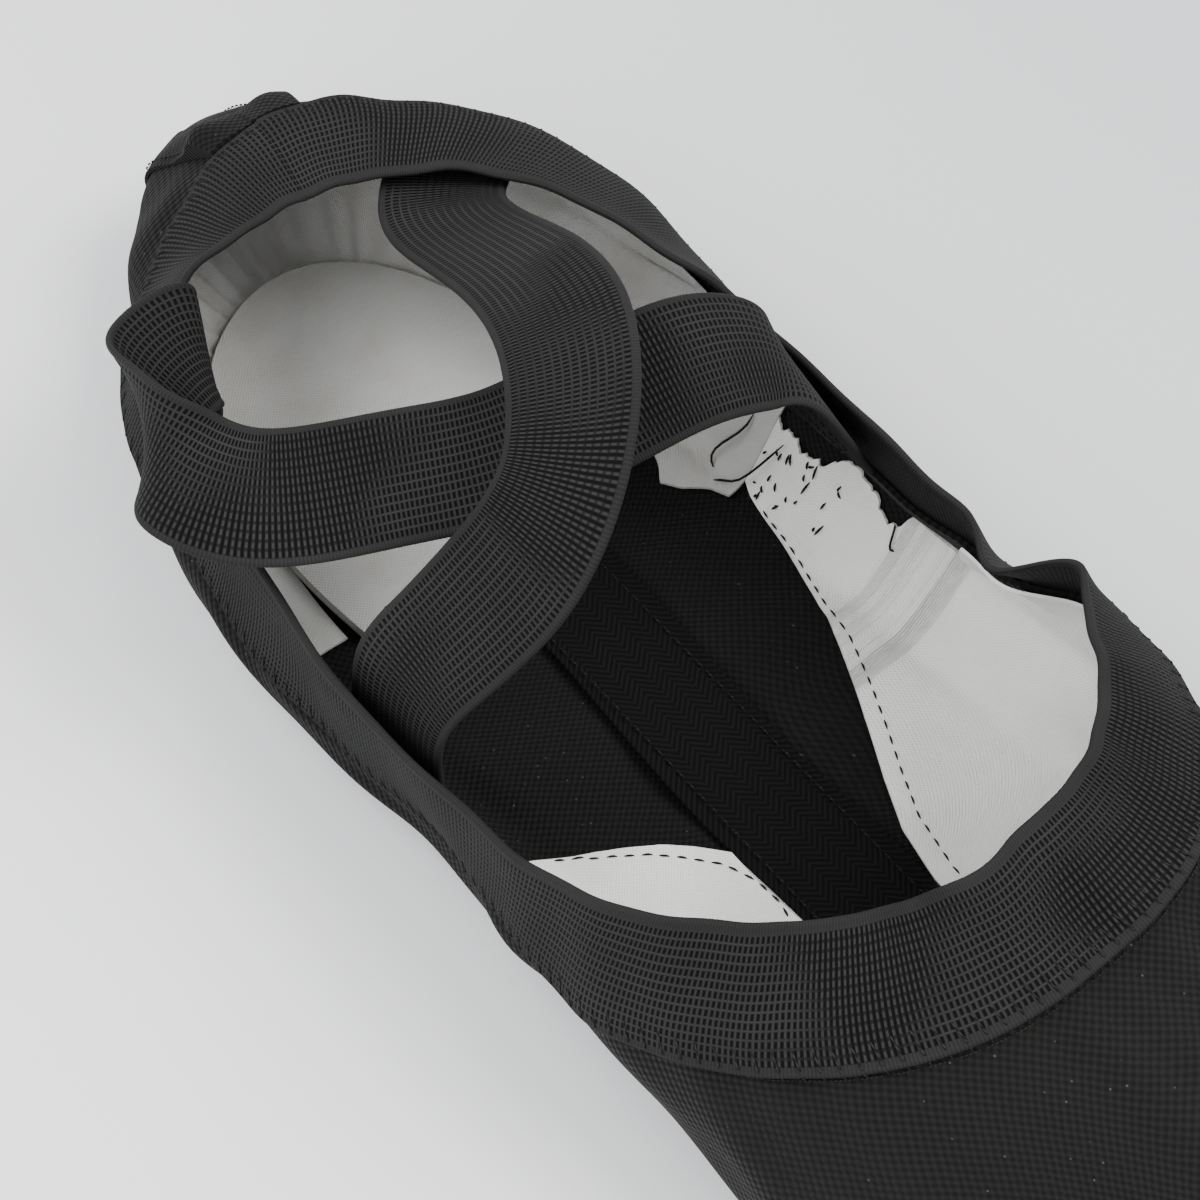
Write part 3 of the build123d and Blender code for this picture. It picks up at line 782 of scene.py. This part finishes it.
def loose_threads():
    """Ends of thread left at the torn lining, and the spots where the strap's tacks come through."""
    face = -LINING_GAP - LINING
    rng = np.random.default_rng(5)
    lines = []
    for _ in range(26):
        t, v = rng.uniform(15.62, 16.08), rng.uniform(1.95, 2.62)
        turn = rng.uniform(0, math.pi)
        reach = rng.uniform(0.4, 1.4) * np.array([0.012 * math.cos(turn), 0.05 * math.sin(turn)])
        at = np.linspace(-1, 1, 4)
        lines.append(skin(t + reach[0] * at, v + reach[1] * at, face - MM * np.array([0.0, 0.2, 0.2, 0.0])))
    tail = np.linspace(0, 1, 9)
    lift = MM * (0.2 + 0.8 * np.sin(math.pi * tail))
    lines.append(skin(15.32 - 0.06 * tail, 2.72 - 0.22 * tail + 0.03 * np.sin(7 * tail), face - lift))
    lines.append(skin(16.22 - 0.22 * tail, 1.6 + 1.0 * tail, face - lift))
    lines.append(skin(16.28 + 0.05 * np.sin(5 * tail), 1.9 + 0.7 * tail, face - lift))
    piece = stitches("loose_threads", lines, 0.2 * MM)
    finished(piece, THREAD_BLACK, [], bend=True)


HEEL_INSOLE = [(-46, 25.5), (-66, 26.5), (-87, 21), (-101, 13), (-107.5, 0), (-102, -15), (-88, -24.5),
               (-66, -29), (-46, -28)]
FOREFOOT_INSOLE = [(60, -31), (78, -31), (94, -25), (106, -13), (110, 2), (105, 17), (93, 27), (78, 32),
                   (60, 33)]
FOAM_BOTTOM = SOLE_TOP + GAP


def pad_loops(points, closed, samples, layers):
    """Loops of a flat pad: layers are (inset, height) from its bottom face round to its top face."""
    line = controls([(MM * x, MM * y) for x, y in points], closed)
    count = len(points) * samples if closed else (len(points) - 1) * samples + 1
    count -= count % 2
    t = np.linspace(0, len(points) - (0 if closed else 1), count, endpoint=not closed)
    step = 0.01
    around = len(points) if closed else len(points) + 1
    along = unit(curve(line, np.mod(t + step, around)) - curve(line, np.mod(t - step, around)))
    inward = np.stack([-along[:, 1], along[:, 0]], axis=1)
    if np.sum(inward * (line.mean(axis=0) - curve(line, t))) < 0:
        inward = -inward
    flat = curve(line, t)
    rings = [np.concatenate([flat + inset * inward, np.full((count, 1), height)], axis=1)
             for inset, height in layers]
    return np.array(rings)


def rounded_layers(bottom, thickness, inset):
    """Section of a pad with soft edges."""
    layers = [(inset, bottom), (0.3 * thickness, bottom)]
    for angle in np.linspace(-60, 60, 5):
        turn = math.radians(angle)
        rise = thickness * (0.5 + 0.55 * math.sin(turn))
        layers.append((0.3 * thickness * (1 - math.cos(turn)), bottom + rise))
    return layers + [(0.3 * thickness, bottom + thickness), (inset, bottom + thickness)]


def insole(place, points, body):
    """Foam pad and the cotton sock that covers it."""
    foam_rings = pad_loops(points, False, 14, rounded_layers(FOAM_BOTTOM, FOAM, 5 * MM))
    foam = lofted(f"{place}_foam_pad", foam_rings, foam_rings.copy())
    finished(foam, FOAM_WHITE, [f"{place}_foam"], body=body)
    sock_rings = pad_loops(points, False, 14, rounded_layers(FOAM_BOTTOM + FOAM + GAP / 2, SOCK, 5 * MM))
    weave = sock_rings.copy()
    sock = lofted(f"{place}_sock_cloth", sock_rings, weave)
    finished(sock, SOCK_WHITE_PAINTED_SHADE, [f"{place}_sock"], body=body)


# ---------------------------------------------------------------- suede sole pads
HEEL_PAD = [(-116, 0), (-109, -17), (-92, -26), (-70, -24), (-56, -12), (-53, 0), (-56, 12), (-70, 24),
            (-92, 25), (-109, 17)]
FOREFOOT_PAD = [(20, 2), (26, -14), (45, -30), (70, -36), (94, -32), (111, -17), (118, 3), (111, 22),
                (94, 37), (70, 39), (45, 33), (26, 18)]
STITCH_INSET = 2.5 * MM
CHANNEL = 1.2 * MM
CHANNEL_DEPTH = 0.8 * MM


def sole_pad(place, points, body):
    """Suede pad with a stitching channel cut in its underside."""
    groove = [(STITCH_INSET + CHANNEL, 0), (STITCH_INSET + 0.8 * CHANNEL, CHANNEL_DEPTH),
              (STITCH_INSET + 0.2 * CHANNEL, CHANNEL_DEPTH), (STITCH_INSET, 0)]
    edge = [(0.5 * MM, 0), (0.15 * MM, 0.25 * MM), (0, 0.6 * MM), (0, 1.1 * MM), (0.2 * MM, 1.45 * MM),
            (0.6 * MM, SUEDE), (6 * MM, SUEDE)]
    rings = pad_loops(points, True, 16, [(7 * MM, 0), *groove, *edge])
    pad = lofted(f"{place}_suede_pad", rings, rings.copy())
    finished(pad, SUEDE_BLACK, [f"{place}_outsole"], body=body)
    loop = pad_loops(points, True, 16, [(STITCH_INSET + CHANNEL / 2, 0.45 * MM)])[0]
    loop = np.concatenate([loop, loop[:1]])
    length = np.concatenate([[0], np.cumsum(np.linalg.norm(np.diff(loop, axis=0), axis=1))])
    lines = []
    for start in np.arange(0, length[-1] - 3 * MM, 3.2 * MM):
        at = start + np.linspace(0, 2.5 * MM, 5)
        line = np.stack([np.interp(at, length, loop[:, k]) for k in range(3)], axis=1)
        line[:, 2] -= MM * np.array([-0.25, 0.05, 0.1, 0.05, -0.25])
        lines.append(line)
    thread = stitches(f"{place}_sole_stitches", lines, 0.25 * MM)
    finished(thread, THREAD_GREY, [f"{place}_outsole_thread"], body=body)


# ---------------------------------------------------------------- crossed foot straps
def sewn_end(t, v, inside, turn=1):
    """Middle and width direction of a strap's end, flat against the inside of the wall."""
    step = 0.2
    before, middle, after = skin(np.array([t - step, t, t + step]), np.full(3, v), -inside * MM)
    return tuple(middle), tuple(turn * unit(after - before))


def in_metres(rows):
    return [(tuple(MM * np.array(middle, float)), side) for middle, side in rows]


STRAP_OVER = [sewn_end(18.5, 5.5, 2.2, -1)] + in_metres([
    ((-81, 16, 38.5), (0.55, 0.83, 0.05)),
    ((-70, 12, 45), (0.5, 0.85, 0.15)),
    ((-56, 10, 54), (0.6, 0.75, 0.3)),
    ((-42, 6, 61.5), (0.7, 0.6, 0.35)),
    ((-30, -1, 64.5), (0.75, 0.55, 0.35)),
    ((-21, -10, 62.5), (0.82, 0.45, 0.35)),
    ((-18, -18, 56), (0.93, 0.3, 0.2)),
    ((-19, -24, 48.5), (0.95, 0.25, 0.1)),
    ((-21, -31, 41), (0.98, 0.1, 0.0)),
    ((-22, -37.8, 34), (0.99, 0.0, 0.0)),
]) + [sewn_end(4.25, 5.5, 0.6)]
STRAP_UNDER = [sewn_end(2.35, 5.5, 2.6)] + in_metres([
    ((-83.5, -25.8, 36.5), (0.84, -0.42, -0.3)),
    ((-80.5, -34.5, 41.5), (0.85, -0.25, -0.38)),
    ((-73.5, -41, 43.5), (0.65, -0.38, -0.62)),
    ((-65, -43, 44.5), (0.65, -0.55, -0.5)),
    ((-56.5, -39.5, 44), (0.68, -0.6, -0.45)),
    ((-49.5, -32, 44.5), (0.7, -0.56, -0.4)),
    ((-42.5, -20.5, 46), (0.78, -0.5, -0.34)),
    ((-35, -8, 49), (0.88, -0.4, -0.25)),
    ((-31, 8, 51.5), (0.9, -0.25, -0.35)),
    ((-29, 20, 51), (0.93, -0.12, -0.35)),
    ((-26, 29.5, 47), (0.95, -0.1, -0.2)),
    ((-22, 33.6, 40.5), (0.97, -0.1, -0.1)),
]) + [sewn_end(15.75, 5.5, 0.7, -1)]


def straps():
    """The two crossed foot straps, a little cupped across their width."""
    section = webbing_section(STRAP_WIDTH, STRAP, 40)

    def cup(t, across):
        return 0.5 * MM * np.cos(across / STRAP_WIDTH * math.pi) * ramp(t, 1.5, 3) + 0 * across

    over = band_on_route("upper_foot_strap", STRAP_OVER, section, 420, 0.15, cup)
    under = band_on_route("lower_foot_strap", STRAP_UNDER, section, 460, 0.45, cup)
    finished(over, ELASTIC, ["strap_over"], strap="upper_strap")
    finished(under, ELASTIC, ["strap_under"], strap="lower_strap")


def tacks(name, stations, inward, node, strap):
    """Rows of tack stitches at each sewn end of a strap."""
    line = controls([row[0] for row in stations], False)
    side = controls([row[1] for row in stations], False)
    last = len(stations) - 1
    lines = []
    for t in (0.15, 0.45, last - 0.5, last - 0.2):
        at = np.array([t, t + 0.05])
        middle, across = curve(line, at), unit(curve(side, at))
        normal = np.cross(across, unit(middle[1] - middle[0]))[0] * inward
        for w in np.arange(-7.5, 7.0, 1.6) * MM:
            points = [middle[0] + (w + k * 0.4 * MM) * across[0] + (STRAP / 2 + lift * MM) * normal
                      for k, lift in enumerate((0.0, 0.2, 0.2, 0.0))]
            lines.append(np.array(points))
    piece = stitches(name, lines, 0.17 * MM)
    finished(piece, THREAD_BLACK, [node], strap=strap)


# ---------------------------------------------------------------- floor, light and camera
def floor():
    """Plain pale floor, with painted light: its colour grows lighter toward the camera."""
    size = 3.0
    mesh = bpy.data.meshes.new("floor")
    corners = [(-size, -size, 0), (size, -size, 0), (size, size, 0), (-size, size, 0)]
    mesh.from_pydata(corners, [], [(0, 1, 2, 3)])
    piece = bpy.data.objects.new("floor", mesh)
    bpy.context.scene.collection.objects.link(piece)
    f = Finish("floor_pale", 0.9)
    place = f.object_place()
    speckle = f.noise(900, 2, place)
    # Painted light: the floor's colour runs from grey far off to near white toward the camera, in place of
    # the fall of light.
    painted_light_share = f.math("SUBTRACT", 1.0, f.above(f.split(place)[1], -0.22, 0.20))
    pale = f.mix(painted_light_share, (0.44, 0.45, 0.47), (0.93, 0.935, 0.95))
    piece.data.materials.append(f.done(pale, speckle, 0.02 * MM))


def area_light(name, place, aim, size, power, colour):
    data = bpy.data.lights.new(name, "AREA")
    data.shape = "SQUARE"
    data.size = size
    data.energy = power
    data.color = colour
    lamp = bpy.data.objects.new(name, data)
    bpy.context.scene.collection.objects.link(lamp)
    lamp.location = place
    lamp.rotation_euler = (Vector(aim) - Vector(place)).to_track_quat("-Z", "Y").to_euler()


def lights():
    area_light("key", (0.55, 0.75, 1.15), (-0.03, 0, 0.03), 0.8, 27, (1, 0.99, 0.97))
    area_light("fill", (-0.9, -0.5, 0.9), (-0.03, 0, 0.03), 1.0, 16, (0.98, 0.99, 1))
    area_light("front", (0.25, -1.0, 0.9), (0, -0.1, 0), 1.0, 11, (1, 0.99, 0.98))
    world = bpy.data.worlds.new("studio")
    bpy.context.scene.world = world
    world.use_nodes = True
    background = world.node_tree.nodes["Background"]
    background.inputs["Color"].default_value = (0.98, 0.985, 1, 1)
    background.inputs["Strength"].default_value = 1.25


def camera():
    azimuth, elevation, distance = math.radians(50), math.radians(60), 0.404
    target = Vector((-0.031, 0.0045, 0))
    back = Vector((math.sin(azimuth) * math.cos(elevation), -math.cos(azimuth) * math.cos(elevation),
                   math.sin(elevation)))
    data = bpy.data.cameras.new("camera")
    data.lens = 80
    data.sensor_width = 36
    viewer = bpy.data.objects.new("camera", data)
    bpy.context.scene.collection.objects.link(viewer)
    viewer.location = target + distance * back
    viewer.rotation_euler = (-back).to_track_quat("-Z", "Y").to_euler()
    bpy.context.scene.camera = viewer


camera()
canvas_pieces()
topline_band()
topline_stitching()
heel_stay()
arch_tape()
lining_pieces()
edge_stitches("lining_stitches_near", RIGHT_LINING, (4.85, 6.1), "lining_thread_right")
edge_stitches("lining_stitches_far", LEFT_LINING, (13.9, 16.0), "lining_thread_left")
loose_threads()
insole("heel", HEEL_INSOLE, "heel")
insole("forefoot", FOREFOOT_INSOLE, "forefoot")
sole_pad("heel", HEEL_PAD, "heel")
sole_pad("forefoot", FOREFOOT_PAD, "forefoot")
straps()
tacks("upper_strap_tacks", STRAP_OVER, 1, "strap_over_thread", "upper_strap")
tacks("lower_strap_tacks", STRAP_UNDER, -1, "strap_under_thread", "lower_strap")
floor()
lights()
